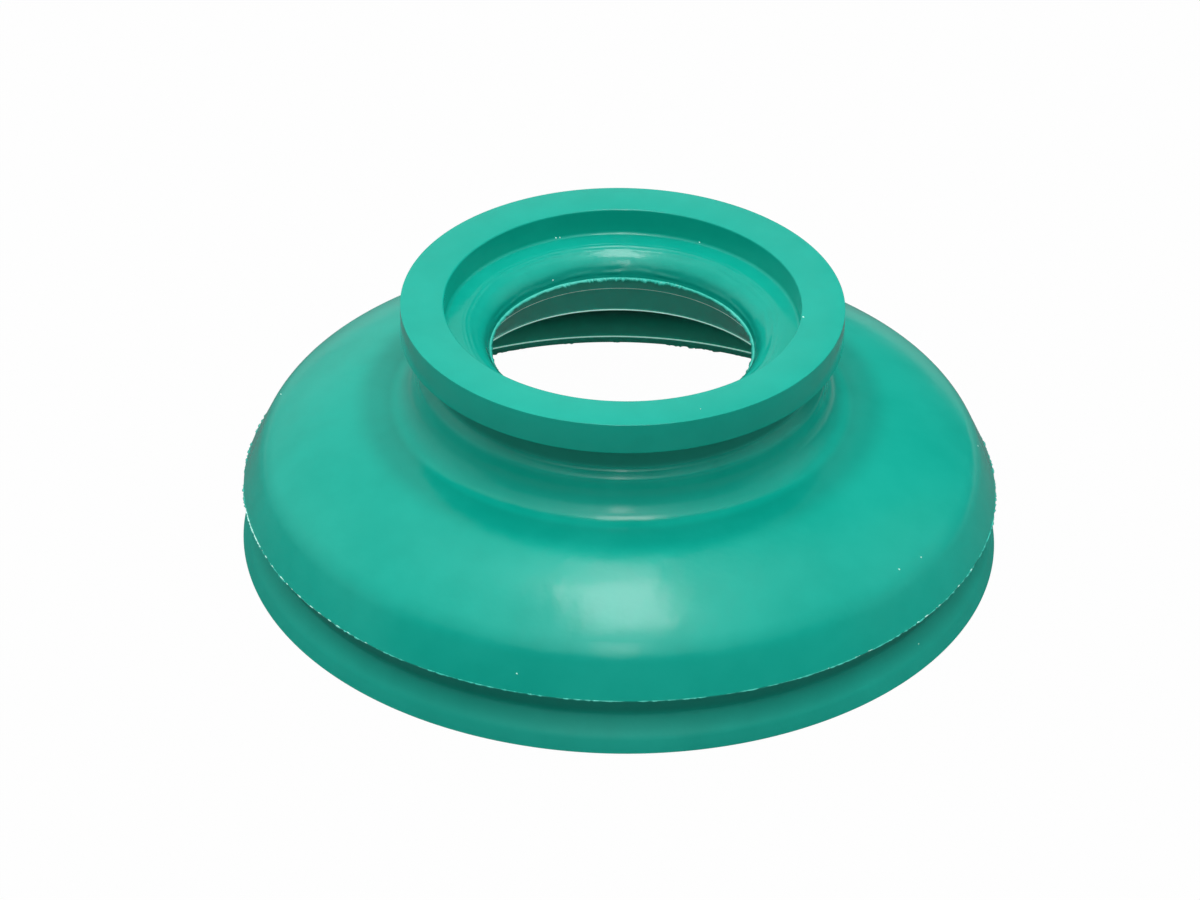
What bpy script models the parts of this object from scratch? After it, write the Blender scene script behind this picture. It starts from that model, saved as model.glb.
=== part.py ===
"""Power valve bellows: one moulded rubber ring, a short neck with a clamp collar on a wide bell.

The whole part is one body of revolution about +Z. Its section is drawn here as one closed
loop of straight runs and tangent arcs, and a Screw modifier turns the loop once round the axis.
The origin is the centre of the bottom face. Units are metres, angles are degrees.
"""
from math import acos, asin, cos, degrees, hypot, pi, radians, sin, sqrt, tan

import bmesh
import bpy

MM = 0.001

# Overall size
HEIGHT = 16.0 * MM
BELL_RADIUS = 22.5 * MM
BELL_WALL = 1.0 * MM

# Collar at the top, with the seat for the valve's cap sunk into it
COLLAR_RADIUS = 13.0 * MM
COLLAR_THICKNESS = 1.9 * MM
SEAT_RADIUS = 10.45 * MM
SEAT_DEPTH = 1.67 * MM
SEAT_FILLET = 0.2 * MM

# Throat: a rolled edge from the seat's floor down to a sharp edge, then a flaring bore
THROAT_RADIUS = 7.75 * MM
THROAT_ROLL = 1.87 * MM
THROAT_EDGE_DROP = 3.2 * MM
BORE_STEP_RADIUS = 8.35 * MM
BORE_STEP_DROP = 4.27 * MM
BORE_LEDGE = 0.25 * MM
BORE_MOUTH_RADIUS = 10.1 * MM
BORE_MOUTH_DROP = 6.83 * MM

# Clamp groove between the collar and the neck's ridge, with a sloping foot
CLAMP_GROOVE_RADIUS = 11.5 * MM
CLAMP_GROOVE_TOP_FILLET = 0.4 * MM
CLAMP_GROOVE_FOOT_RISE = 0.5 * MM
NECK_RADIUS = 12.05 * MM
RIDGE_DROP = 4.4 * MM
NECK_FILLET = 1.8 * MM

# Bell: a shallow dome, a rounded shoulder and a drafted flank down to the parting edge
DOME_DROP = 6.62 * MM
DOME_ROUND = 14.4 * MM
DOME_END_ANGLE = 54.0
SHOULDER_ROUND = 3.5 * MM
FLANK_DRAFT = 25.0
PARTING_HEIGHT = 3.6 * MM

# Retaining groove under the parting edge, and the lip that flares below it, as wide as the bell
LIP_GROOVE_DEPTH = 1.1 * MM
LIP_FLARE_TOP_ANGLE = 28.0
LIP_FLARE_FOOT_ANGLE = 42.0
LIP_ROUND = 0.95 * MM
LIP_LAND = 0.68 * MM
LIP_DRAFT = 20.0

# Inside of the lower ring
FOOT_WALL = 0.9 * MM
FOOT_CHAMFER_WIDTH = 0.3 * MM
FOOT_CHAMFER_HEIGHT = 0.45 * MM
FOOT_WALL_HEIGHT = 3.4 * MM
CEILING_EDGE_GAP = 0.7 * MM

# Mesh fineness
TURN_STEPS = 72
ARC_STEP_ANGLE = 18.0
DOME_STEP_ANGLE = 7.5
WELD_DISTANCE = 0.000005
SHARP_ANGLE = 30.0

RUBBER_COLOUR = (0.004, 0.425, 0.312, 1.0)
RUBBER_ROUGHNESS = 0.42


def arc(centre, radius, start, end, step_angle=ARC_STEP_ANGLE):
    """Points along an arc in the section. Angles run from outward (+X) towards up (+Z)."""
    steps = max(2, round(abs(end - start) / step_angle))
    points = []
    for i in range(steps + 1):
        angle = radians(start + (end - start) * i / steps)
        points.append((centre[0] + radius * cos(angle), centre[1] + radius * sin(angle)))
    return points


def bell_centres():
    """Centres of the dome's and the shoulder's arcs, with the flank ending on the parting edge."""
    dome_height = HEIGHT - DOME_DROP - DOME_ROUND
    end = radians(DOME_END_ANGLE)
    draft = radians(FLANK_DRAFT)
    shoulder_height = dome_height + (DOME_ROUND - SHOULDER_ROUND) * sin(end)
    flank_top = shoulder_height + SHOULDER_ROUND * sin(draft)
    flank_run = (flank_top - PARTING_HEIGHT) * sin(draft) / cos(draft)
    shoulder_radius = BELL_RADIUS - flank_run - SHOULDER_ROUND * cos(draft)
    dome_radius = shoulder_radius - (DOME_ROUND - SHOULDER_ROUND) * cos(end)
    return (dome_radius, dome_height), (shoulder_radius, shoulder_height)


def collar_and_groove():
    """Outer side from the collar's top edge down to the ridge of the neck."""
    underside = HEIGHT - COLLAR_THICKNESS
    ridge = HEIGHT - RIDGE_DROP
    top = CLAMP_GROOVE_TOP_FILLET
    points = [(COLLAR_RADIUS, HEIGHT), (COLLAR_RADIUS, underside)]
    points += arc((CLAMP_GROOVE_RADIUS + top, underside - top), top, 90, 180)
    points += [(CLAMP_GROOVE_RADIUS, ridge + CLAMP_GROOVE_FOOT_RISE), (NECK_RADIUS, ridge)]
    return points


def outer_bell(dome, shoulder):
    """Neck fillet, dome, shoulder and flank, down to the parting edge."""
    across = NECK_RADIUS + NECK_FILLET - dome[0]
    reach = DOME_ROUND + NECK_FILLET
    fillet = (dome[0] + across, dome[1] + sqrt(reach ** 2 - across ** 2))
    tangent = degrees(acos(across / reach))
    points = arc(fillet, NECK_FILLET, 180, 180 + tangent)
    points += arc(dome, DOME_ROUND, tangent, DOME_END_ANGLE, DOME_STEP_ANGLE)[1:]
    points += arc(shoulder, SHOULDER_ROUND, DOME_END_ANGLE, FLANK_DRAFT, 10)[1:]
    points.append((BELL_RADIUS, PARTING_HEIGHT))
    return points


def groove_bottom():
    """Radius of the bottom of the groove under the parting edge."""
    return BELL_RADIUS - LIP_GROOVE_DEPTH


def lip():
    """From the bottom of the undercut groove, down the flared lip to the bottom face."""
    draft = radians(LIP_DRAFT)
    top = radians(LIP_FLARE_TOP_ANGLE)
    foot = radians(LIP_FLARE_FOOT_ANGLE)
    nose = (BELL_RADIUS - LIP_LAND * tan(draft) - LIP_ROUND * cos(draft),
            LIP_LAND - LIP_ROUND * sin(draft))
    # The hollow arc leaves the groove's bottom at one angle and meets the lip's nose at the other.
    flare_round = (nose[0] + LIP_ROUND * cos(foot) - groove_bottom()) / (cos(top) - cos(foot))
    flare = (nose[0] + (LIP_ROUND + flare_round) * cos(foot),
             nose[1] + (LIP_ROUND + flare_round) * sin(foot))
    points = arc(flare, flare_round, 180 + LIP_FLARE_TOP_ANGLE, 180 + LIP_FLARE_FOOT_ANGLE, 6)
    points += arc(nose, LIP_ROUND, LIP_FLARE_FOOT_ANGLE, LIP_DRAFT, 8)[1:]
    points.append((BELL_RADIUS, 0))
    return points


def inner_bell(dome, shoulder):
    """Inside from the bottom face up to the ceiling, one wall behind the outer skin."""
    foot_radius = groove_bottom() - FOOT_WALL
    points = [(foot_radius + FOOT_CHAMFER_WIDTH, 0),
              (foot_radius, FOOT_CHAMFER_HEIGHT),
              (foot_radius, FOOT_WALL_HEIGHT)]
    points += arc(shoulder, SHOULDER_ROUND - BELL_WALL, 0, DOME_END_ANGLE)
    ceiling_edge = NECK_RADIUS - CEILING_EDGE_GAP
    ceiling_angle = degrees(acos((ceiling_edge - dome[0]) / (DOME_ROUND - BELL_WALL)))
    points += arc(dome, DOME_ROUND - BELL_WALL, DOME_END_ANGLE, ceiling_angle, DOME_STEP_ANGLE)[1:]
    return points


def bore_and_seat():
    """Flaring bore up to the throat's edge, the rolled edge, the seat's floor and its wall."""
    roll_height = HEIGHT - SEAT_DEPTH - THROAT_ROLL
    edge_height = HEIGHT - THROAT_EDGE_DROP
    edge_angle = degrees(asin((edge_height - roll_height) / THROAT_ROLL))
    roll = (THROAT_RADIUS + THROAT_ROLL * cos(radians(edge_angle)), roll_height)
    seat = (SEAT_RADIUS - SEAT_FILLET, HEIGHT - SEAT_DEPTH + SEAT_FILLET)
    points = [(BORE_MOUTH_RADIUS, HEIGHT - BORE_MOUTH_DROP),
              (BORE_STEP_RADIUS + BORE_LEDGE, HEIGHT - BORE_STEP_DROP),
              (BORE_STEP_RADIUS, HEIGHT - BORE_STEP_DROP)]
    points += arc(roll, THROAT_ROLL, 180 - edge_angle, 90, 12)
    points += arc(seat, SEAT_FILLET, 270, 360, 30)
    points.append((SEAT_RADIUS, HEIGHT))
    return points


def section():
    """The closed section, down the outer side and up the inside, without doubled points."""
    dome, shoulder = bell_centres()
    loop = collar_and_groove() + outer_bell(dome, shoulder) + lip()
    loop += inner_bell(dome, shoulder) + bore_and_seat()
    kept = []
    for point in loop:
        if not kept or hypot(point[0] - kept[-1][0], point[1] - kept[-1][1]) > WELD_DISTANCE:
            kept.append(point)
    return kept


def rubber():
    material = bpy.data.materials.new("green_rubber")
    material.use_nodes = True
    shader = material.node_tree.nodes["Principled BSDF"]
    shader.inputs["Base Color"].default_value = RUBBER_COLOUR
    shader.inputs["Roughness"].default_value = RUBBER_ROUGHNESS
    shader.inputs["Metallic"].default_value = 0.0
    return material


def turned(name, points, collection):
    """An object whose section is turned once round Z by a Screw modifier."""
    mesh = bpy.data.meshes.new(name)
    shape = bmesh.new()
    corners = [shape.verts.new((x, 0, z)) for x, z in points]
    for i, corner in enumerate(corners):
        shape.edges.new((corner, corners[(i + 1) % len(corners)]))
    shape.to_mesh(mesh)
    shape.free()
    piece = bpy.data.objects.new(name, mesh)
    collection.objects.link(piece)
    screw = piece.modifiers.new("turn", "SCREW")
    screw.axis = "Z"
    screw.angle = 2 * pi
    screw.steps = TURN_STEPS
    screw.render_steps = TURN_STEPS
    screw.use_merge_vertices = True
    screw.merge_threshold = WELD_DISTANCE
    depsgraph = bpy.context.evaluated_depsgraph_get()
    solid = bpy.data.meshes.new_from_object(piece.evaluated_get(depsgraph))
    piece.modifiers.clear()
    piece.data = solid
    bpy.data.meshes.remove(mesh)
    solid.name = name
    solid.shade_smooth()
    solid.set_sharp_from_angle(angle=radians(SHARP_ANGLE))
    return piece


def main():
    for old in list(bpy.data.objects):
        bpy.data.objects.remove(old, do_unlink=True)
    collection = bpy.data.collections.new("power_valve_bellows")
    bpy.context.scene.collection.children.link(collection)
    bellows = turned("bellows", section(), collection)
    bellows.data.materials.append(rubber())
    print("bellows:", len(bellows.data.vertices), "points,", len(bellows.data.polygons), "faces")


main()
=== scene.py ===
# %% [markdown]
# # A rubber bellows for a power valve
# The real part is one soft moulding: a neck with a clamp collar and a seat on top, and a
# wide domed bell that ends in a sharp edge, a groove and a lip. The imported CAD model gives
# its size and place. This lesson dresses it: it turns a finer body, adds the ragged flash
# that the mould leaves on its edges, the lint that sticks to rubber, a satin rubber finish,
# soft studio light and the camera of the photograph.

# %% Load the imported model
from math import acos, asin, cos, degrees, hypot, pi, radians, sin, sqrt, tan

import bmesh
import bpy
from mathutils import Matrix, Vector


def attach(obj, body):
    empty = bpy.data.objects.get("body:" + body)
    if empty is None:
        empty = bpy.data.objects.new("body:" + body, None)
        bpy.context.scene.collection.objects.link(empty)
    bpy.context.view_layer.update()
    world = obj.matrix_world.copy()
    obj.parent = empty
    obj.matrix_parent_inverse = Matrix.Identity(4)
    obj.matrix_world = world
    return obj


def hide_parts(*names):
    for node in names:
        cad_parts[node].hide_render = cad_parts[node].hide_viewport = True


MM = 0.001

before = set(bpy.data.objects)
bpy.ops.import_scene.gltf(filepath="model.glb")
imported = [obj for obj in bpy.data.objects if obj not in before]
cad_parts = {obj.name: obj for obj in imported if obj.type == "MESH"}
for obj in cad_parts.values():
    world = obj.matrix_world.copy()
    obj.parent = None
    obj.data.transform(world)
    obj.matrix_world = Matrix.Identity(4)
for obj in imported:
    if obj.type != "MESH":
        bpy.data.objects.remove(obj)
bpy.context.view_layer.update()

# %% [markdown]
# ## Node trees as sums
# Materials and Geometry Nodes could be clicked together, or written line by line with a
# link for each wire. Here one small class holds a socket and answers to + - * /, so a
# formula in Python lays its own Math nodes. Every other node comes from one method, add().
# Sockets are named by their identifier, because several can share a name.


# %% A socket that can be added and multiplied
class Signal:
    """A socket of a node tree. A sum on signals adds a Math or Vector Math node."""

    def __init__(self, nodes, socket):
        self.nodes, self.socket = nodes, socket

    def maths(self, operation, first, second):
        both = (first, second)
        flat = all(not isinstance(v, (tuple, Vector)) and not self.is_vector(v) for v in both)
        if flat:
            return self.nodes.add("ShaderNodeMath", {"operation": operation},
                                  {"Value": first, "Value_001": second}, "Value")
        first, second = ((v,) * 3 if isinstance(v, (int, float)) else v for v in both)
        return self.nodes.add("ShaderNodeVectorMath", {"operation": operation},
                              {"Vector": first, "Vector_001": second}, "Vector")

    @staticmethod
    def is_vector(value):
        return isinstance(value, Signal) and value.socket.type == "VECTOR"

    def __add__(self, other):
        return self.maths("ADD", self, other)

    def __radd__(self, other):
        return self.maths("ADD", other, self)

    def __sub__(self, other):
        return self.maths("SUBTRACT", self, other)

    def __rsub__(self, other):
        return self.maths("SUBTRACT", other, self)

    def __mul__(self, other):
        return self.maths("MULTIPLY", self, other)

    def __rmul__(self, other):
        return self.maths("MULTIPLY", other, self)

    def __truediv__(self, other):
        return self.maths("DIVIDE", self, other)

    def __pow__(self, other):
        return self.maths("POWER", self, other)


# %% Nodes come from one method
class Nodes:
    """Writes nodes into one tree: settings first, then the values or links of the sockets."""

    def __init__(self, tree):
        self.tree = tree

    def add(self, kind, settings=None, inputs=None, output=None):
        node = self.tree.nodes.new(kind)
        for name, value in (settings or {}).items():
            setattr(node, name, value)
        sockets = {socket.identifier: socket for socket in node.inputs}
        for name, value in (inputs or {}).items():
            if isinstance(value, Signal):
                self.tree.links.new(value.socket, sockets[name])
            else:
                sockets[name].default_value = value
        if not node.outputs:
            return node
        outputs = {socket.identifier: socket for socket in node.outputs}
        return Signal(self, outputs[output] if output else node.outputs[0])

    def noise(self, place, scale, detail, seed):
        """A soft random value about 0.5. Scale counts its waves in a metre."""
        return self.add("ShaderNodeTexNoise", {"noise_dimensions": "4D"},
                        {"Vector": place, "W": seed, "Scale": scale, "Detail": detail}, "Fac")

    def ramp(self, value, low, high, start=0.0, end=1.0):
        """start below low, end above high, and an S-shaped change between them."""
        return self.add("ShaderNodeMapRange", {"interpolation_type": "SMOOTHSTEP"},
                        {"Value": value, "From Min": low, "From Max": high,
                         "To Min": start, "To Max": end}, "Result")

    def fade(self, value, low, high):
        """1 below low and 0 above high."""
        return self.ramp(value, low, high, 1.0, 0.0)

    def between(self, value, low, rise, fall, high):
        """1 from rise to fall, and 0 below low and above high."""
        return self.ramp(value, low, rise) * self.fade(value, fall, high)

    def blend(self, share, first, second):
        """A colour between two colours."""
        return self.add("ShaderNodeMix", {"data_type": "RGBA"},
                        {"Factor_Float": share, "A_Color": first, "B_Color": second},
                        "Result_Color")

    def parts(self, vector):
        """The X, Y and Z of a vector."""
        split = self.add("ShaderNodeSeparateXYZ", None, {"Vector": vector}, "X")
        return [Signal(self, socket) for socket in split.socket.node.outputs]


# %% [markdown]
# ## The section
# A body of revolution is known by its section alone, so the same sizes as in the CAD source
# come first, in millimetres. The CAD keeps few points and sharp corners. Here the arcs are
# finer, and the corners that catch a thin line of light in the photograph are eased a little.

# %% Sizes of the section, in millimetres
HEIGHT = 16.0
BELL_RADIUS = 22.5
BELL_WALL = 1.0
COLLAR_RADIUS, COLLAR_THICKNESS = 13.0, 1.9
SEAT_RADIUS, SEAT_DEPTH, SEAT_FILLET = 10.45, 1.67, 0.2
THROAT_RADIUS, THROAT_ROLL, THROAT_EDGE_DROP = 7.75, 1.87, 3.2
BORE_STEP_RADIUS, BORE_STEP_DROP, BORE_LEDGE = 8.35, 4.27, 0.25
BORE_MOUTH_RADIUS, BORE_MOUTH_DROP = 10.1, 6.83
CLAMP_GROOVE_RADIUS, CLAMP_GROOVE_TOP_FILLET, CLAMP_GROOVE_FOOT_RISE = 11.5, 0.4, 0.43
NECK_RADIUS, NECK_FILLET = 12.05, 1.8
RIDGE_DROP = 4.4
DOME_DROP, DOME_ROUND, DOME_END_ANGLE = 6.62, 14.4, 54.0
SHOULDER_ROUND, FLANK_DRAFT, PARTING_HEIGHT = 2.9, 25.0, 3.6
LIP_GROOVE_DEPTH, LIP_FLARE_TOP_ANGLE, LIP_FLARE_FOOT_ANGLE = 1.1, 28.0, 42.0
LIP_LAND, LIP_ROUND, LIP_DRAFT = 0.68, 0.95, 20.0
FOOT_WALL, FOOT_CHAMFER_WIDTH, FOOT_CHAMFER_HEIGHT, FOOT_WALL_HEIGHT = 0.95, 0.2, 0.45, 3.4
CEILING_EDGE_GAP = 0.7
print("bell:", 2 * BELL_RADIUS, "mm across, collar:", 2 * COLLAR_RADIUS, "mm, throat:",
      2 * THROAT_RADIUS, "mm")


# %% Arcs and eased corners
def arc(centre, radius, start, end, step_angle):
    """Points along an arc. Angles run from outward towards up."""
    steps = max(2, round(abs(end - start) / step_angle))
    angles = [radians(start + (end - start) * i / steps) for i in range(steps + 1)]
    return [(centre[0] + radius * cos(a), centre[1] + radius * sin(a)) for a in angles]


def eased(loop, softened):
    """The loop with a small curve in place of each corner named in softened."""
    points = []
    for i, corner in enumerate(loop):
        if corner not in softened:
            points.append(corner)
            continue
        here = Vector(corner)
        ends = []
        for other in (loop[i - 1], loop[(i + 1) % len(loop)]):
            ends.append(here + (Vector(other) - here).normalized() * softened[corner])
        for share in (0.0, 0.25, 0.5, 0.75, 1.0):
            curve = ends[0].lerp(here, share).lerp(here.lerp(ends[1], share), share)
            points.append(tuple(curve))
    return points


print("a quarter round in steps of 15 degrees:", len(arc((0.0, 0.0), 1.0, 0, 90, 15)), "points")

# %% The outer side, from the collar down to the parting edge
def bell_centres():
    """Centres of the dome's and the shoulder's arcs."""
    end, draft = radians(DOME_END_ANGLE), radians(FLANK_DRAFT)
    dome_height = HEIGHT - DOME_DROP - DOME_ROUND
    shoulder_height = dome_height + (DOME_ROUND - SHOULDER_ROUND) * sin(end)
    flank_top = shoulder_height + SHOULDER_ROUND * sin(draft)
    flank_run = (flank_top - PARTING_HEIGHT) * sin(draft) / cos(draft)
    shoulder_radius = BELL_RADIUS - flank_run - SHOULDER_ROUND * cos(draft)
    dome_radius = shoulder_radius - (DOME_ROUND - SHOULDER_ROUND) * cos(end)
    return (dome_radius, dome_height), (shoulder_radius, shoulder_height)


dome, shoulder = bell_centres()
underside, ridge = HEIGHT - COLLAR_THICKNESS, HEIGHT - RIDGE_DROP
collar_edge, collar_foot = (COLLAR_RADIUS, HEIGHT), (COLLAR_RADIUS, underside)
groove_foot = (CLAMP_GROOVE_RADIUS, ridge + CLAMP_GROOVE_FOOT_RISE)
ridge_edge = (NECK_RADIUS, ridge)
parting_edge = (BELL_RADIUS, PARTING_HEIGHT)

fillet_across = NECK_RADIUS + NECK_FILLET - dome[0]
fillet_reach = DOME_ROUND + NECK_FILLET
fillet = (dome[0] + fillet_across, dome[1] + sqrt(fillet_reach ** 2 - fillet_across ** 2))
tangent = degrees(acos(fillet_across / fillet_reach))

outer_side = [collar_edge, collar_foot]
outer_side += arc((CLAMP_GROOVE_RADIUS + CLAMP_GROOVE_TOP_FILLET,
                   underside - CLAMP_GROOVE_TOP_FILLET), CLAMP_GROOVE_TOP_FILLET, 90, 180, 15)
outer_side += [groove_foot, ridge_edge]
outer_side += arc(fillet, NECK_FILLET, 180, 180 + tangent, 5)
outer_side += arc(dome, DOME_ROUND, tangent, DOME_END_ANGLE, 2)[1:]
outer_side += arc(shoulder, SHOULDER_ROUND, DOME_END_ANGLE, FLANK_DRAFT, 3)[1:]
outer_side += [parting_edge]
print("outer side:", len(outer_side), "points")

# %% The lip
groove_bottom = BELL_RADIUS - LIP_GROOVE_DEPTH
lip_draft, flare_top, flare_foot = (
    radians(angle) for angle in (LIP_DRAFT, LIP_FLARE_TOP_ANGLE, LIP_FLARE_FOOT_ANGLE))
lip_round = (BELL_RADIUS - LIP_LAND * tan(lip_draft) - LIP_ROUND * cos(lip_draft),
             LIP_LAND - LIP_ROUND * sin(lip_draft))
flare_round = (lip_round[0] + LIP_ROUND * cos(flare_foot) - groove_bottom) / (
    cos(flare_top) - cos(flare_foot))
flare = (lip_round[0] + (LIP_ROUND + flare_round) * cos(flare_foot),
         lip_round[1] + (LIP_ROUND + flare_round) * sin(flare_foot))

lip_foot = (BELL_RADIUS, 0.0)
lip = arc(flare, flare_round, 180 + LIP_FLARE_TOP_ANGLE, 180 + LIP_FLARE_FOOT_ANGLE, 2)
groove_corner = lip[0]
lip += arc(lip_round, LIP_ROUND, LIP_FLARE_FOOT_ANGLE, LIP_DRAFT, 4)[1:]
lip += [lip_foot]
print("lip:", len(lip), "points")

# %% The inside of the bell
foot_radius = groove_bottom - FOOT_WALL
inner_foot = (foot_radius + FOOT_CHAMFER_WIDTH, 0.0)
foot_wall_edge = (foot_radius, FOOT_CHAMFER_HEIGHT)
ceiling_reach = NECK_RADIUS - CEILING_EDGE_GAP - dome[0]
ceiling_angle = degrees(acos(ceiling_reach / (DOME_ROUND - BELL_WALL)))

inside = [inner_foot, foot_wall_edge, (foot_radius, FOOT_WALL_HEIGHT)]
inside += arc(shoulder, SHOULDER_ROUND - BELL_WALL, 0, DOME_END_ANGLE, 6)
inside += arc(dome, DOME_ROUND - BELL_WALL, DOME_END_ANGLE, ceiling_angle, 4)[1:]
print("inside:", len(inside), "points")

# %% The bore, the throat's rolled edge and the seat
edge_height = HEIGHT - THROAT_EDGE_DROP
roll_height = HEIGHT - SEAT_DEPTH - THROAT_ROLL
edge_angle = degrees(asin((edge_height - roll_height) / THROAT_ROLL))
roll = (THROAT_RADIUS + THROAT_ROLL * cos(radians(edge_angle)), roll_height)
bore_mouth = (BORE_MOUTH_RADIUS, HEIGHT - BORE_MOUTH_DROP)
bore_step = (BORE_STEP_RADIUS, HEIGHT - BORE_STEP_DROP)
seat_edge = (SEAT_RADIUS, HEIGHT)

bore = [bore_mouth, (BORE_STEP_RADIUS + BORE_LEDGE, bore_step[1]), bore_step]
bore += arc(roll, THROAT_ROLL, 180 - edge_angle, 90, 4)
bore += arc((SEAT_RADIUS - SEAT_FILLET, HEIGHT - SEAT_DEPTH + SEAT_FILLET), SEAT_FILLET,
            270, 360, 15)
bore += [seat_edge]
print("bore and seat:", len(bore), "points")

# %% One closed loop with its corners eased
SHARP_EASE = 0.04
SAME_POINT = 0.004

section = eased(outer_side + lip + inside + bore, {
    collar_edge: SHARP_EASE, collar_foot: SHARP_EASE, seat_edge: 0.1,
    groove_foot: 0.2, ridge_edge: 0.2, groove_corner: 0.12,
    parting_edge: SHARP_EASE, lip_foot: 0.03, inner_foot: 0.08, foot_wall_edge: 0.1,
    bore_mouth: 0.14, bore_step: 0.07})
section = [p for i, p in enumerate(section)
           if hypot(p[0] - section[i - 1][0], p[1] - section[i - 1][1]) > SAME_POINT]
print("section:", len(section), "points")

# %% [markdown]
# ## A finish for moulded rubber
# Fresh moulded rubber is satin: its colour is even, and its skin is covered with a very
# fine grain from the mould's steel. A single colour looks like plastic. So two close greens
# are clouded into each other, the same clouds in the roughness break up the softbox's
# reflection, and turning marks of the mould show as fine rings on the throat's rolled edge.

# %% A material to fill
BLACK = (0.0, 0.0, 0.0, 1.0)
WHITE = (1.0, 1.0, 1.0, 1.0)


def empty_material(name):
    """A material without nodes, and the writer for its tree."""
    material = bpy.data.materials.new(name)
    material.use_nodes = True
    material.node_tree.nodes.clear()
    return material, Nodes(material.node_tree)


print("for mixing: black", BLACK[:3], "and white", WHITE[:3])

# %% [markdown]
# ## Deep places: painted shade
# Hardly any light reaches the bottom of a groove, and in the photograph the deep places are
# darker than these lamps leave them. Other lamps or a darker floor would change the whole
# part. So shade is painted into the rubber: it is a little darker in the two grooves, at the
# throat's edge, round the neck's foot and high on the inner wall. Each place is found by its
# radius and height, so it stays put from any side. Low on the inner wall a painted glow
# stands for light that comes through the foot.

# %% Where shade and glow are painted
# Painted shade: how far the colour goes towards black in each deep place.
PAINTED_SHADE = {"collar_groove": 0.32, "lip_groove": 0.38, "throat_edge": 0.28, "neck_foot": 0.2,
          "inner_top": 0.9}


def painted_shade_and_glow_masks(nodes, radius, z):
    """A mask for each place with painted shade or glow, where light is scarce or comes through, in
    millimetres.
    """
    inner_wall = (nodes.fade(radius, foot_radius + 0.35, foot_radius + 0.55)
                  * nodes.fade(z, PARTING_HEIGHT, PARTING_HEIGHT + 0.6))
    return {
        "collar_groove": nodes.between(radius, CLAMP_GROOVE_RADIUS - 0.3,
                                       CLAMP_GROOVE_RADIUS - 0.2, CLAMP_GROOVE_RADIUS + 0.5,
                                       CLAMP_GROOVE_RADIUS + 0.8)
        * nodes.between(z, ridge + 0.4, ridge + 0.8, underside - 0.05, underside + 0.05),
        "lip_groove": nodes.ramp(radius, groove_bottom - 0.4, groove_bottom - 0.2)
        * nodes.between(z, PARTING_HEIGHT - 2.0, PARTING_HEIGHT - 1.0, PARTING_HEIGHT - 0.15,
                        PARTING_HEIGHT),
        "throat_edge": nodes.fade(radius, THROAT_RADIUS + 0.85, THROAT_RADIUS + 1.45)
        * nodes.between(z, edge_height + 0.08, edge_height + 0.15, edge_height + 0.4,
                        edge_height + 1.1),
        "neck_foot": nodes.between(radius, 13.2, 13.8, 14.6, 16.2) * nodes.ramp(z, 8.4, 8.8),
        "inner_top": inner_wall * nodes.ramp(z, 1.6, 3.0),
        "inner_foot": inner_wall * nodes.fade(z, 0.9, 2.0)}


print("darker places:", ", ".join(PAINTED_SHADE))

# %% The skin's grain and rings
RING_SPACING = 0.20
SKIN_STEP = 0.006 * MM


def skin(nodes, place, radius, z):
    """Bump of the skin. Each share counts steps of SKIN_STEP."""
    grain = nodes.noise(place, 5200.0, 2.0, 3.0)
    waves = nodes.noise(place, 260.0, 1.0, 4.0)
    patches = nodes.noise(place, 900.0, 2.0, 6.0)
    on_roll = nodes.ramp(z, 12.6, 13.2) * nodes.fade(radius, 9.0, 9.6)
    rings = nodes.add("ShaderNodeMath", {"operation": "SINE"},
                      {"Value": (radius - z) * (2 * pi / RING_SPACING) + waves * 9.0}, "Value")
    rings = rings * nodes.ramp(patches, 0.35, 0.65, 0.3, 1.7)
    height = grain * 0.35 + waves * 6.0 + patches * 3.4 + rings * on_roll * 1.35
    return nodes.add("ShaderNodeBump", None,
                     {"Strength": 1.0, "Distance": SKIN_STEP, "Height": height}, "Normal")


print("mould rings every", RING_SPACING, "mm")

# %% The rubber
POLISH = 0.11
# Painted light: a weak glow low on the inner wall, for light that comes through the thin foot.
PAINTED_GLOW_LOW_INSIDE = (0.005, 0.030, 0.022)


def rubber(name, deep, pale, glow=(0.0, 0.0, 0.0)):
    """Satin rubber between a deep and a pale colour, with painted shade. Glow paints light let
    through.
    """
    material, nodes = empty_material(name)
    place = nodes.add("ShaderNodeTexCoord", None, None, "Object")
    x, y, z = nodes.parts(place * (1.0 / MM))
    radius = (x * x + y * y) ** 0.5
    clouds = nodes.noise(place, 160.0, 3.0, 1.0)
    streaks = nodes.noise(place, 700.0, 2.0, 2.0)

    places = painted_shade_and_glow_masks(nodes, radius, z)
    # Painted shade: the colour is darkened towards black in the deep places.
    shades = [places[spot] * share for spot, share in PAINTED_SHADE.items()]
    colour = nodes.blend(nodes.ramp(clouds * 0.7 + streaks * 0.3, 0.3, 0.7), deep, pale)
    colour = nodes.blend(sum(shades[1:], shades[0]), colour, BLACK)

    lip = nodes.fade(z, 3.4, 3.7)
    bell = nodes.ramp(radius, 13.5, 16.5)
    seat = nodes.ramp(z, 12.6, 13.2) * nodes.fade(radius, 10.0, 10.6)
    roughness = (POLISH + bell * 0.03 + lip * 0.32 + places["collar_groove"] * 0.3
                 + nodes.ramp(clouds, 0.35, 0.65) * 0.06 + streaks * 0.05 + seat * 0.02)

    # The emission is painted light: the glow low on the inner wall, and each rubber's own glow.
    shader = nodes.add("ShaderNodeBsdfPrincipled", None, {
        "Base Color": colour, "Roughness": roughness, "IOR": 1.40,
        "Emission Color": places["inner_foot"] * PAINTED_GLOW_LOW_INSIDE + glow,
        "Emission Strength": 1.0, "Normal": skin(nodes, place, radius, z)}, "BSDF")
    nodes.add("ShaderNodeOutputMaterial", None, {"Surface": shader})
    return material
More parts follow.
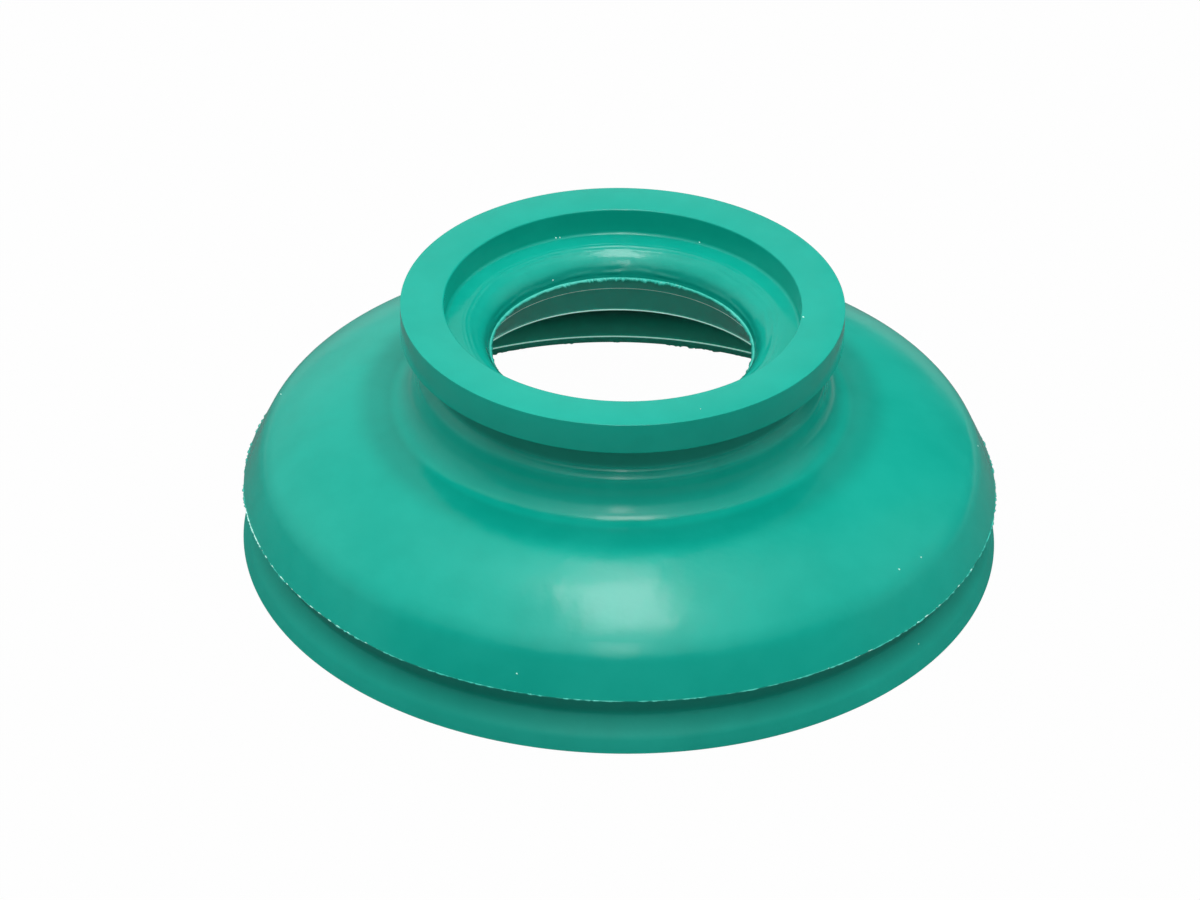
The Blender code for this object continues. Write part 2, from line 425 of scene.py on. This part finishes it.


# %% [markdown]
# ## Four rubbers from one recipe
# The body is deep green. Flash is a skin of the same rubber so thin that light comes
# through it, which makes it paler. A transparent shader would show that, but slowly, so a
# weak painted glow of its own colour stands for it: more where the skin is thinner and the
# edge stands against the dark inside of the bell. There the two palest paint highlights.

# %% The body's rubber and its flash
# Every glow here is painted light. On the pale lines inside, the two palest rubbers paint
# highlights.
body_rubber = rubber("green_rubber", (0.002, 0.405, 0.308, 1.0), (0.006, 0.455, 0.350, 1.0))
flash_rubber = rubber("thin_green_rubber", (0.03, 0.50, 0.40, 1.0), (0.12, 0.68, 0.57, 1.0),
                      glow=(0.0, 0.05, 0.035))
PALE_GREENS = (0.38, 0.86, 0.76, 1.0), (0.62, 1.0, 0.92, 1.0)
pale_flash_painted_glow = rubber("pale_flash_painted_glow", *PALE_GREENS, glow=(0.12, 0.19, 0.17))
painted_highlight_flash = rubber("painted_highlight_flash", *PALE_GREENS, glow=(0.24, 0.38, 0.34))
print("finishes:", body_rubber.name, flash_rubber.name, pale_flash_painted_glow.name, painted_highlight_flash.name)

# %% [markdown]
# ## Turning the body
# Spin or a Screw modifier would turn the section too. Here a Geometry Nodes tree does it,
# and its result is kept as a plain mesh: the section is the profile, a circle is the path,
# and Curve to Mesh closes both ways, so no seam is left. The rubber came out of the mould a
# little out of round, so a second small tree, shared by all pieces, pushes every point by a
# soft noise.


# %% Helpers for the trees
def new_tree(name, inputs):
    """An empty Geometry Nodes tree with a geometry in and out and the named inputs."""
    tree = bpy.data.node_groups.new(name, "GeometryNodeTree")
    tree.interface.new_socket("Geometry", in_out="INPUT", socket_type="NodeSocketGeometry")
    for label, kind, value in inputs:
        socket = tree.interface.new_socket(label, in_out="INPUT", socket_type=kind)
        if value is not None:
            socket.default_value = value
    tree.interface.new_socket("Geometry", in_out="OUTPUT", socket_type="NodeSocketGeometry")
    nodes = Nodes(tree)
    group_input = tree.nodes.new("NodeGroupInput")
    given = {socket.name: Signal(nodes, socket) for socket in group_input.outputs if socket.name}
    return tree, nodes, given


def way_out(nodes, geometry):
    """Links a geometry to the tree's output."""
    output = nodes.tree.nodes.new("NodeGroupOutput")
    nodes.tree.links.new(geometry.socket, output.inputs[0])


def finish_tree(nodes, geometry, material):
    """Realize Instances, Set Material and the way out."""
    plain = nodes.add("GeometryNodeRealizeInstances", None, {"Geometry": geometry})
    way_out(nodes, nodes.add("GeometryNodeSetMaterial", None,
                             {"Geometry": plain, "Material": material}))


# %% Growing a piece
def grow(name, mesh, tree, values):
    """Runs the tree on the mesh and keeps the result as a plain mesh object at the origin."""
    piece = bpy.data.objects.new(name, mesh)
    bpy.context.scene.collection.objects.link(piece)
    modifier = piece.modifiers.new(tree.name, "NODES")
    modifier.node_group = tree
    for item in tree.interface.items_tree:
        if item.in_out == "INPUT" and item.name in values:
            modifier[item.identifier] = values[item.name]
    made = bpy.data.meshes.new_from_object(
        piece.evaluated_get(bpy.context.evaluated_depsgraph_get()))
    piece.modifiers.clear()
    piece.data = made
    made.name = name
    triangles = sum(len(face.vertices) - 2 for face in made.polygons)
    check = bmesh.new()
    check.from_mesh(made)
    volume = check.calc_volume(signed=True)
    check.free()
    size = [round(side / MM, 2) for side in piece.dimensions]
    print(f"{name}: {triangles} triangles, {size} mm, {volume / MM ** 3:.0f} cubic mm")
    return piece


# %% The shared wobble
WOBBLE_DEPTH = 0.16 * MM


def wobble_tree():
    """Pushes each point of the bell a little towards the axis, the same way for every piece."""
    tree, nodes, given = new_tree("moulding_wobble", [("Depth", "NodeSocketFloat", 0.0)])
    place = nodes.add("GeometryNodeInputPosition", None, None, "Position")
    x, y, z = nodes.parts(place)
    outward = nodes.add("ShaderNodeCombineXYZ", None, {"X": x, "Y": y, "Z": 0.0}, "Vector")
    outward = nodes.add("ShaderNodeVectorMath", {"operation": "NORMALIZE"},
                        {"Vector": outward}, "Vector")
    lobes = nodes.noise(place, 45.0, 1.0, 11.0)
    bell_only = nodes.between(z, 0.2 * MM, 3.0 * MM, 9.0 * MM, 11.0 * MM)
    shift = outward * (nodes.ramp(lobes, 0.35, 0.65, -1.0, -0.5) * bell_only * given["Depth"])
    way_out(nodes, nodes.add("GeometryNodeSetPosition", None,
                             {"Geometry": given["Geometry"], "Offset": shift}))
    return tree


wobble = wobble_tree()


def wobbled(nodes, geometry):
    """The geometry after the shared wobble."""
    group = nodes.tree.nodes.new("GeometryNodeGroup")
    group.node_tree = wobble
    nodes.tree.links.new(geometry.socket, group.inputs[0])
    group.inputs[1].default_value = WOBBLE_DEPTH
    return Signal(nodes, group.outputs[0])


print("wobble:", WOBBLE_DEPTH / MM, "mm at most")


# %% The turning tree
def turning_tree():
    """Turns a closed section, drawn about the path's radius, once round Z."""
    tree, nodes, given = new_tree("turned_moulding", [
        ("Steps", "NodeSocketInt", 32), ("Path Radius", "NodeSocketFloat", 1.0),
        ("Sharp Angle", "NodeSocketFloat", 0.5), ("Material", "NodeSocketMaterial", None)])
    profile = nodes.add("GeometryNodeMeshToCurve", None, {"Mesh": given["Geometry"]})
    path = nodes.add("GeometryNodeCurvePrimitiveCircle", None,
                     {"Resolution": given["Steps"], "Radius": given["Path Radius"]}, "Curve")
    turned = nodes.add("GeometryNodeCurveToMesh", None,
                       {"Curve": path, "Profile Curve": profile})
    shape = wobbled(nodes, turned)
    bend = nodes.add("GeometryNodeInputMeshEdgeAngle", None, None, "Unsigned Angle")
    sharp = nodes.add("FunctionNodeCompare", {"operation": "GREATER_THAN"},
                      {"A": bend, "B": given["Sharp Angle"]}, "Result")
    smooth = nodes.add("GeometryNodeSetShadeSmooth", None,
                       {"Geometry": shape, "Shade Smooth": True})
    creased = nodes.add("GeometryNodeSetShadeSmooth", {"domain": "EDGE"},
                        {"Geometry": smooth, "Selection": sharp, "Shade Smooth": False})
    finish_tree(nodes, creased, given["Material"])
    return tree


turning = turning_tree()
print("turning tree:", len(turning.nodes), "nodes")

# %% The body
PATH_RADIUS = 15.0
BODY_STEPS = 360
SHARP_ANGLE = 50.0


def loop_mesh(name, points):
    """A closed loop of edges in metres. On a flat circle the profile's Y points down."""
    mesh = bpy.data.meshes.new(name)
    corners = [((r - PATH_RADIUS) * MM, -z * MM, 0.0) for r, z in points]
    edges = [(i, (i + 1) % len(corners)) for i in range(len(corners))]
    mesh.from_pydata(corners, edges, [])
    return mesh


body = grow("bellows_moulding", loop_mesh("section", section), turning,
            {"Steps": BODY_STEPS, "Path Radius": PATH_RADIUS * MM,
             "Sharp Angle": radians(SHARP_ANGLE), "Material": body_rubber})

# %% [markdown]
# ## Flash on the mould's edges
# Where the parts of a mould meet, rubber creeps between them and leaves a thin ragged skin,
# called flash. A texture could colour it but gives no ragged outline. So a thin wire with a
# diamond section is swept round each edge, sunk in the body, and its tip is pushed out by
# noise. Long waves decide where the skin was left, short ones tear its edge. One tree with
# named inputs makes every line of flash, and it ends in the same wobble as the body.

# %% The flash tree
LONG_WAVES = 0.15
TEETH_SEED = 5.0


def flash_tree():
    """A thin wire round Z whose tip is pushed along Reach and Lift by noise."""
    tree, nodes, given = new_tree("mould_flash", [
        ("Radius", "NodeSocketFloat", 1.0), ("Height", "NodeSocketFloat", 0.0),
        ("Thickness", "NodeSocketFloat", 0.0), ("Reach", "NodeSocketFloat", 0.0),
        ("Lift", "NodeSocketFloat", 0.0), ("Cover", "NodeSocketFloat", 0.5),
        ("Tear", "NodeSocketFloat", 0.5), ("Wave Scale", "NodeSocketFloat", 1.0),
        ("Seed", "NodeSocketFloat", 0.0), ("Start", "NodeSocketFloat", 0.0),
        ("Sweep", "NodeSocketFloat", 0.0), ("Steps", "NodeSocketInt", 8),
        ("Material", "NodeSocketMaterial", None)])
    path = nodes.add("GeometryNodeCurveArc", {"mode": "RADIUS"},
                     {"Resolution": given["Steps"], "Radius": given["Radius"],
                      "Start Angle": given["Start"], "Sweep Angle": given["Sweep"]}, "Curve")
    wire = nodes.add("GeometryNodeCurvePrimitiveCircle", None,
                     {"Resolution": 4, "Radius": given["Thickness"]}, "Curve")
    swept = nodes.add("GeometryNodeCurveToMesh", None,
                      {"Curve": path, "Profile Curve": wire, "Fill Caps": True})
    place = nodes.add("GeometryNodeInputPosition", None, None, "Position")
    x, y, z = nodes.parts(place)
    radius = (x * x + y * y) ** 0.5
    outward = nodes.add("ShaderNodeCombineXYZ", None, {"X": x / radius, "Y": y / radius}, "Vector")
    side = (radius - given["Radius"]) / given["Thickness"] * nodes.add(
        "ShaderNodeMath", {"operation": "SIGN"}, {"Value": given["Reach"]}, "Value")
    tip = nodes.ramp(side, 0.5, 0.9)
    bare = 0.68 - given["Cover"] * 0.36
    left = nodes.ramp(nodes.noise(place, given["Wave Scale"] * LONG_WAVES, 1.0, given["Seed"]),
                      bare, bare + 0.10)
    teeth = nodes.ramp(nodes.noise(place, given["Wave Scale"], 3.0, given["Seed"] + TEETH_SEED),
                       0.38, 0.62)
    share = tip * left * (1.0 - given["Tear"] + teeth * given["Tear"])
    up = nodes.add("ShaderNodeCombineXYZ", None, {"Z": given["Lift"]}, "Vector")
    level = nodes.add("ShaderNodeCombineXYZ", None, {"Z": given["Height"]}, "Vector")
    moved = nodes.add("GeometryNodeSetPosition", None,
                      {"Geometry": swept,
                       "Offset": level + (outward * given["Reach"] + up) * share})
    finish_tree(nodes, wobbled(nodes, moved), given["Material"])
    return tree


flash = flash_tree()
print("flash tree:", len(flash.nodes), "nodes")

# %% One line of flash
details = []


def add_flash(name, radius, height, reach, lift=0.0, thickness=0.03, cover=0.5, tear=0.6,
              waves=1400.0, seed=0.0, start=100.0, sweep=360.0, step=0.08,
              material=flash_rubber):
    """One line of flash. Lengths in millimetres, angles in degrees."""
    details.append(grow(name, bpy.data.meshes.new(name), flash, {
        "Radius": radius * MM, "Height": height * MM, "Thickness": thickness * MM,
        "Reach": reach * MM, "Lift": lift * MM, "Cover": cover, "Tear": tear,
        "Wave Scale": waves, "Seed": seed, "Start": radians(start), "Sweep": radians(sweep),
        "Steps": int(radians(sweep) * radius / step), "Material": material}))


# %% Flash at the throat
SUNK = 0.03
add_flash("throat_flash", THROAT_RADIUS + SUNK, edge_height, -0.14, lift=-0.03, cover=1.1,
          tear=0.5, waves=2600.0, seed=3.0, step=0.06, thickness=0.075)
add_flash("throat_clump", THROAT_RADIUS + SUNK, edge_height + 0.02, -0.27, lift=-0.06,
          thickness=0.07, cover=0.85, tear=0.9, waves=4200.0, seed=9.0, start=62.0,
          sweep=60.0, step=0.04)

# %% Flash on the parting edge: a fine ragged edge all round, and paler skin where it shows
add_flash("parting_flash", BELL_RADIUS - 0.05, PARTING_HEIGHT, 0.10, cover=0.8, tear=0.85,
          waves=3000.0, seed=1.0, thickness=0.035, step=0.06)
# The paler skin takes the pale rubber, whose glow is painted light.
for name, cover, tear, waves, seed, start, sweep in (
        ("parting_skin", 1.2, 0.7, 4500.0, 7.0, 190.0, 10.5),
        ("parting_dots", 0.40, 0.5, 16000.0, 12.0, 200.5, 30.0),
        ("parting_dots_right", 0.30, 0.5, 14000.0, 15.0, -60.0, 38.0)):
    add_flash(name, BELL_RADIUS - 0.04, PARTING_HEIGHT + 0.01, 0.07, lift=0.04, cover=cover,
              tear=tear, waves=waves, seed=seed, start=start, sweep=sweep, step=0.03,
              material=pale_flash_painted_glow)

# %% [markdown]
# ## Pale lines inside: painted highlights
# Through the throat three thin pale lines show: on the bore's ledge, round the bore's mouth
# and above the foot. They are edges that catch the light, painted here as highlights: thin
# rings of pale rubber that glow. A bevel with a pale material would do, but the same tree
# makes them with one call each, and a ragged skin is left on the foot's inner edge as well.

# %% Painted highlights on the ledge, the bore's mouth and the foot, and flash on the foot
# Painted highlights: thin glowing rings of pale rubber on the ledge, the bore's mouth and the
# foot.
add_flash("ledge_painted_highlight", BORE_STEP_RADIUS + SUNK, bore_step[1] + 0.03, -0.03, cover=1.2,
          tear=0.3, thickness=0.045, seed=4.0, material=pale_flash_painted_glow)
add_flash("bore_mouth_painted_highlight", BORE_MOUTH_RADIUS - 0.02, bore_mouth[1] + 0.04, -0.05, lift=0.02,
          cover=1.2, tear=0.2, thickness=0.05, seed=5.0, material=painted_highlight_flash)
add_flash("foot_painted_highlight", foot_radius - 0.03, FOOT_CHAMFER_HEIGHT + 0.16, -0.03, cover=1.2,
          tear=0.3, thickness=0.045, seed=6.0, material=painted_highlight_flash)
add_flash("foot_flash", foot_radius + FOOT_CHAMFER_WIDTH + 0.02, 0.06, -0.20, cover=0.55,
          tear=0.9, thickness=0.04, waves=2600.0, seed=8.0, material=body_rubber)

# %% [markdown]
# ## Lint
# Rubber draws dust, and the photograph shows a dozen pale specks on it. Scattering them at
# random is easy with Distribute Points on Faces, but these are placed where the photograph
# has them. A ray finds the surface, and a tree sets a small flattened flake on each point
# with its own size and turn.

# %% Where the specks lie
RAY_START = 30.0 * MM


def on_surface(bearing, radius=None, height=None):
    """The point on the body below this bearing and radius, or inward from this height."""
    across = Vector((cos(radians(bearing)), sin(radians(bearing)), 0.0))
    if height is None:
        start, way = across * radius * MM + Vector((0, 0, RAY_START)), Vector((0, 0, -1))
    else:
        start, way = across * RAY_START + Vector((0, 0, height * MM)), -across
    return body.ray_cast(start, way)[1]


lint_places = [on_surface(bearing, radius=radius) for bearing, radius in (
    (-68.0, 12.05), (-104.8, 21.93), (-39.1, 20.75), (-33.7, 20.94), (1.8, 21.29),
    (168.3, 20.85), (-6.9, 10.6), (113.0, 10.43), (111.6, 10.42),
    (64.2, 10.43), (122.1, 7.9))]
lint_places.append(on_surface(-36.9, height=1.25))
print("specks:", len(lint_places))


# %% The lint tree
def lint_tree():
    """A small flattened flake on every point of the mesh."""
    tree, nodes, given = new_tree("lint_specks", [
        ("Flake Radius", "NodeSocketFloat", 0.0), ("Seed", "NodeSocketInt", 0),
        ("Material", "NodeSocketMaterial", None)])
    flake = nodes.add("GeometryNodeMeshIcoSphere", None,
                      {"Radius": given["Flake Radius"], "Subdivisions": 1}, "Mesh")
    size = nodes.add("FunctionNodeRandomValue", {"data_type": "FLOAT_VECTOR"},
                     {"Min": (0.6, 0.5, 0.3), "Max": (1.3, 1.0, 0.7), "Seed": given["Seed"]},
                     "Value")
    turn = nodes.add("FunctionNodeRandomValue", {"data_type": "FLOAT_VECTOR"},
                     {"Min": (0, 0, 0), "Max": (2 * pi,) * 3, "Seed": given["Seed"]}, "Value")
    specks = nodes.add("GeometryNodeInstanceOnPoints", None,
                       {"Points": given["Geometry"], "Instance": flake, "Rotation": turn,
                        "Scale": size})
    finish_tree(nodes, specks, given["Material"])
    return tree


lint_mesh = bpy.data.meshes.new("lint_places")
lint_mesh.from_pydata([tuple(place) for place in lint_places], [], [])
# The specks take the pale rubber, whose glow is painted light.
details.append(grow("lint_specks", lint_mesh, lint_tree(),
                    {"Flake Radius": 0.065 * MM, "Seed": 2, "Material": pale_flash_painted_glow}))

# %% [markdown]
# ## What the pieces stand for
# The CAD model has one solid for the whole moulding. The turned body, its flash and its lint
# take its place together, so each one replaces it and rides on the same body.

# %% Say what the pieces stand for
for piece in [body] + details:
    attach(piece, "root")
    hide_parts("bellows")
print("pieces that stand for the CAD's bellows:", 1 + len(details))

# %% [markdown]
# ## A white floor that adds no light
# The part was photographed on white paper. A plain white floor under soft lamps turns grey,
# and more light on it would wash out the green. So its material asks Light Path what looks
# at it: the camera sees plain white, reflections see a little of it and more of it behind
# the part, and every other ray meets a matt pale floor, which keeps the shadow and throws
# light up into the bell. Seen from below it is clear, so the underside can be looked at.

# %% What looks at a surface
IN_REFLECTIONS = 0.07
BEHIND_IN_REFLECTIONS = 0.40


def lookers(nodes):
    """1 for the camera's own rays, and 1 for rays that come by way of a reflection."""
    path = nodes.add("ShaderNodeLightPath", None, None, "Is Camera Ray")
    rays = {socket.name: Signal(nodes, socket) for socket in path.socket.node.outputs}
    return rays["Is Camera Ray"] + rays["Is Transmission Ray"], rays["Is Glossy Ray"]


print("white of the floor in reflections:", IN_REFLECTIONS, "to", BEHIND_IN_REFLECTIONS)

# %% The floor's finish
UNDER_THE_BELL = (0.95, 0.95, 0.95, 1.0)
ROUND_THE_BELL = (0.35, 0.35, 0.35, 1.0)
SEEN_AS_WHITE = 0.985
DARKER_IN_REFLECTIONS = 0.7
BEHIND_STARTS, BEHIND_FULL = 20.0 * MM, 80.0 * MM


def stage_white(name):
    """A matt floor that the camera sees as white and that is clear from below."""
    material, nodes = empty_material(name)
    camera, glossy = lookers(nodes)
    x, y, z = nodes.parts(nodes.add("ShaderNodeTexCoord", None, None, "Object"))
    reflected = nodes.ramp(y, BEHIND_STARTS, BEHIND_FULL, IN_REFLECTIONS, BEHIND_IN_REFLECTIONS)
    bell_edge = nodes.ramp((x * x + y * y) ** 0.5, 19.0 * MM, 22.0 * MM)
    colour = nodes.blend(bell_edge, UNDER_THE_BELL, ROUND_THE_BELL)
    colour = nodes.blend(glossy * DARKER_IN_REFLECTIONS, colour, BLACK)
    matt = nodes.add("ShaderNodeBsdfDiffuse", None, {"Color": colour}, "BSDF")
    white = nodes.add("ShaderNodeEmission", None, {"Color": WHITE, "Strength": 1.0}, "Emission")
    above = nodes.add("ShaderNodeMixShader", None,
                      {"Fac": (camera + glossy * reflected) * SEEN_AS_WHITE,
                       "Shader": matt, "Shader_001": white}, "Shader")
    from_below = nodes.add("ShaderNodeNewGeometry", None, None, "Backfacing")
    clear = nodes.add("ShaderNodeBsdfTransparent", None, None, "BSDF")
    one_sided = nodes.add("ShaderNodeMixShader", None,
                          {"Fac": from_below, "Shader": above, "Shader_001": clear}, "Shader")
    nodes.add("ShaderNodeOutputMaterial", None, {"Surface": one_sided})
    return material


# %% The floor
HALF_FLOOR = 2.0
FLOOR_DROP = 0.02 * MM

floor_mesh = bpy.data.meshes.new("floor")
floor_mesh.from_pydata([(-HALF_FLOOR, -HALF_FLOOR, 0), (HALF_FLOOR, -HALF_FLOOR, 0),
                        (HALF_FLOOR, HALF_FLOOR, 0), (-HALF_FLOOR, HALF_FLOOR, 0)], [],
                       [(0, 1, 2, 3)])
floor_mesh.materials.append(stage_white("pale_floor"))
floor = bpy.data.objects.new("floor", floor_mesh)
bpy.context.scene.collection.objects.link(floor)
floor.location.z = -FLOOR_DROP
print("floor:", 2 * HALF_FLOOR, "m wide")

# %% The air around
AMBIENT = 0.26

world = bpy.data.worlds.new("studio")
bpy.context.scene.world = world
world.use_nodes = True
world.node_tree.nodes.clear()
sky = Nodes(world.node_tree)
camera_rays, glossy_rays = lookers(sky)
seen = camera_rays + glossy_rays * IN_REFLECTIONS
air = sky.add("ShaderNodeBackground", None,
              {"Color": WHITE, "Strength": AMBIENT + seen * (1.0 - AMBIENT)}, "Background")
sky.add("ShaderNodeOutputWorld", None, {"Surface": air})
print("light from the air:", AMBIENT)

# %% [markdown]
# ## Soft studio light
# A single lamp would leave hard shadows. The photograph has a broad soft light from above
# and two plain reflections on the bell: a wide one from a box overhead and a narrow one
# from a strip in front, each with a dimmer panel beyond it. So area lamps of those sizes
# stand there. Large dim lamps that reflections don't see fill the rest. Each one is given
# by how bright its face looks, which makes lamps of different sizes easy to compare.

# %% Where the lamps stand
# Name, width and depth in metres, how bright the face looks (1 is white), place, and
# whether reflections see it.
LAMPS = (
    ("ceiling", 1.3, 1.1, 0.47, (0.0, 0.1, 0.75), False),
    ("overhead_softbox", 0.14, 0.215, 7.4, (0.006, -0.030, 0.5), True),
    ("back_softbox", 0.10, 0.09, 3.6, (0.0, 0.122, 0.5), True),
    ("back_panel", 0.10, 0.09, 1.3, (0.0, 0.212, 0.5), True),
    ("front_softbox", 0.045, 0.22, 5.6, (0.0, -0.345, 0.400), True),
    ("low_panel", 0.05, 0.09, 2.2, (0.0, -0.443, 0.281), True),
    ("front_fill", 0.3, 0.3, 2.5, (0.0, -0.282, 0.530), False),
    ("right_fill", 0.3, 0.3, 2.2, (0.471, 0.22, 0.300), False),
    ("left_fill", 0.3, 0.3, 2.6, (-0.471, 0.22, 0.300), False))
LAMP_AIM = Vector((0.0, 0.0, 0.008))
print("lamps:", len(LAMPS))


# %% Lamps
def softbox(name, width, depth, brightness, place, reflected):
    """A rectangular softbox, turned to face the part."""
    lamp = bpy.data.lights.new(name, "AREA")
    lamp.shape = "RECTANGLE"
    lamp.size, lamp.size_y = width, depth
    lamp.energy = brightness * pi * width * depth
    holder = bpy.data.objects.new(name, lamp)
    bpy.context.scene.collection.objects.link(holder)
    holder.location = place
    holder.rotation_euler = (LAMP_AIM - Vector(place)).to_track_quat("-Z", "Y").to_euler()
    holder.visible_glossy = reflected
    return lamp.energy


print("light in watts:", round(sum(softbox(*lamp) for lamp in LAMPS), 2))

# %% [markdown]
# ## The room in the sheen
# A glossy surface shows the room about it. A plain world would give the same sheen on both
# sides, but the photograph has a brighter left, a dim right and a dark front. So a dome that
# only reflections see stands about the object, with its brightness written as a formula of
# the direction: X to the right, Y to the back.

# %% The room's brightness by direction
ROOM_RADIUS = 1.5
ROOM_STRENGTH = 1.25
ROOM_LEVEL = 0.48
AHEAD_GLOW = 0.75


def room_light():
    """A light whose brightness follows the direction from the middle of the room."""
    material, nodes = empty_material("room_light")
    place = nodes.add("ShaderNodeTexCoord", None, None, "Object")
    x, y, z = nodes.parts(place * (1.0 / ROOM_RADIUS))
    aside = (x * x) ** 0.5
    level = (x * x + y * y) ** 0.5
    back = nodes.ramp(y, 0.1, 0.6)
    right = nodes.ramp(x, 0.0, 0.3)
    ahead = nodes.fade(aside, 0.10, 0.65) * nodes.between(y, -0.95, -0.7, 0.1, 0.6)
    bright = ROOM_LEVEL + ahead * AHEAD_GLOW - back * (0.04 + right * 0.30) - right * 0.08
    low_front = nodes.ramp(level, 0.80, 0.90) * nodes.fade(y, -0.5, -0.1)
    bright = bright * (1.0 - low_front * 0.8) * nodes.ramp(z, 0.02, 0.22, 0.6, 1.0)
    grey = nodes.add("ShaderNodeCombineXYZ", None, {"X": bright, "Y": bright, "Z": bright},
                     "Vector")
    light = nodes.add("ShaderNodeEmission", None, {"Color": grey, "Strength": ROOM_STRENGTH},
                      "Emission")
    nodes.add("ShaderNodeOutputMaterial", None, {"Surface": light})
    material.cycles.emission_sampling = "NONE"
    return material


# %% The dome
room_mesh = bpy.data.meshes.new("room_dome")
room_shape = bmesh.new()
bmesh.ops.create_uvsphere(room_shape, u_segments=48, v_segments=24, radius=ROOM_RADIUS)
room_shape.to_mesh(room_mesh)
room_shape.free()
room_mesh.materials.append(room_light())
dome_object = bpy.data.objects.new("room_dome", room_mesh)
bpy.context.scene.collection.objects.link(dome_object)
for kind in ("camera", "diffuse", "transmission", "volume_scatter", "shadow"):
    setattr(dome_object, "visible_" + kind, False)
print("room:", 2 * ROOM_RADIUS, "m across")

# %% [markdown]
# ## The camera
# The view has to match the photograph's. Moving a camera by eye takes long, so its distance,
# height and lens were worked out from the ellipses of the rings: how flat they are gives the
# height, and how they shrink from front to back gives the distance. A long lens 0.3 m away
# looks down at 35 degrees.

# %% The photograph's camera
FOCAL_PIXELS, FRAME_PIXELS, SENSOR = 5400.0, 1200.0, 36.0
CAMERA_DISTANCE = 324.16 * MM
CAMERA_ELEVATION, CAMERA_ROLL = 34.597, 0.969
LOOK_RIGHT, LOOK_DOWN = -0.003747, -0.014392

lens = bpy.data.cameras.new("photo_camera")
lens.sensor_width = SENSOR
lens.lens = FOCAL_PIXELS / FRAME_PIXELS * SENSOR
lens.clip_start, lens.clip_end = 0.01, 20.0
camera = bpy.data.objects.new("photo_camera", lens)
bpy.context.scene.collection.objects.link(camera)
elevation = radians(CAMERA_ELEVATION)
stand = Vector((0.0, -cos(elevation), sin(elevation))) * CAMERA_DISTANCE
camera.matrix_world = (Matrix.Translation(stand)
                       @ Matrix.Rotation(pi / 2 - elevation, 4, "X")
                       @ Matrix.Rotation(-LOOK_RIGHT, 4, "Y")
                       @ Matrix.Rotation(-LOOK_DOWN, 4, "X")
                       @ Matrix.Rotation(radians(CAMERA_ROLL), 4, "Z"))
bpy.context.scene.camera = camera
bpy.context.scene.view_settings.view_transform = "Standard"
print("lens:", lens.lens, "mm, camera at", [round(side, 3) for side in stand], "m")
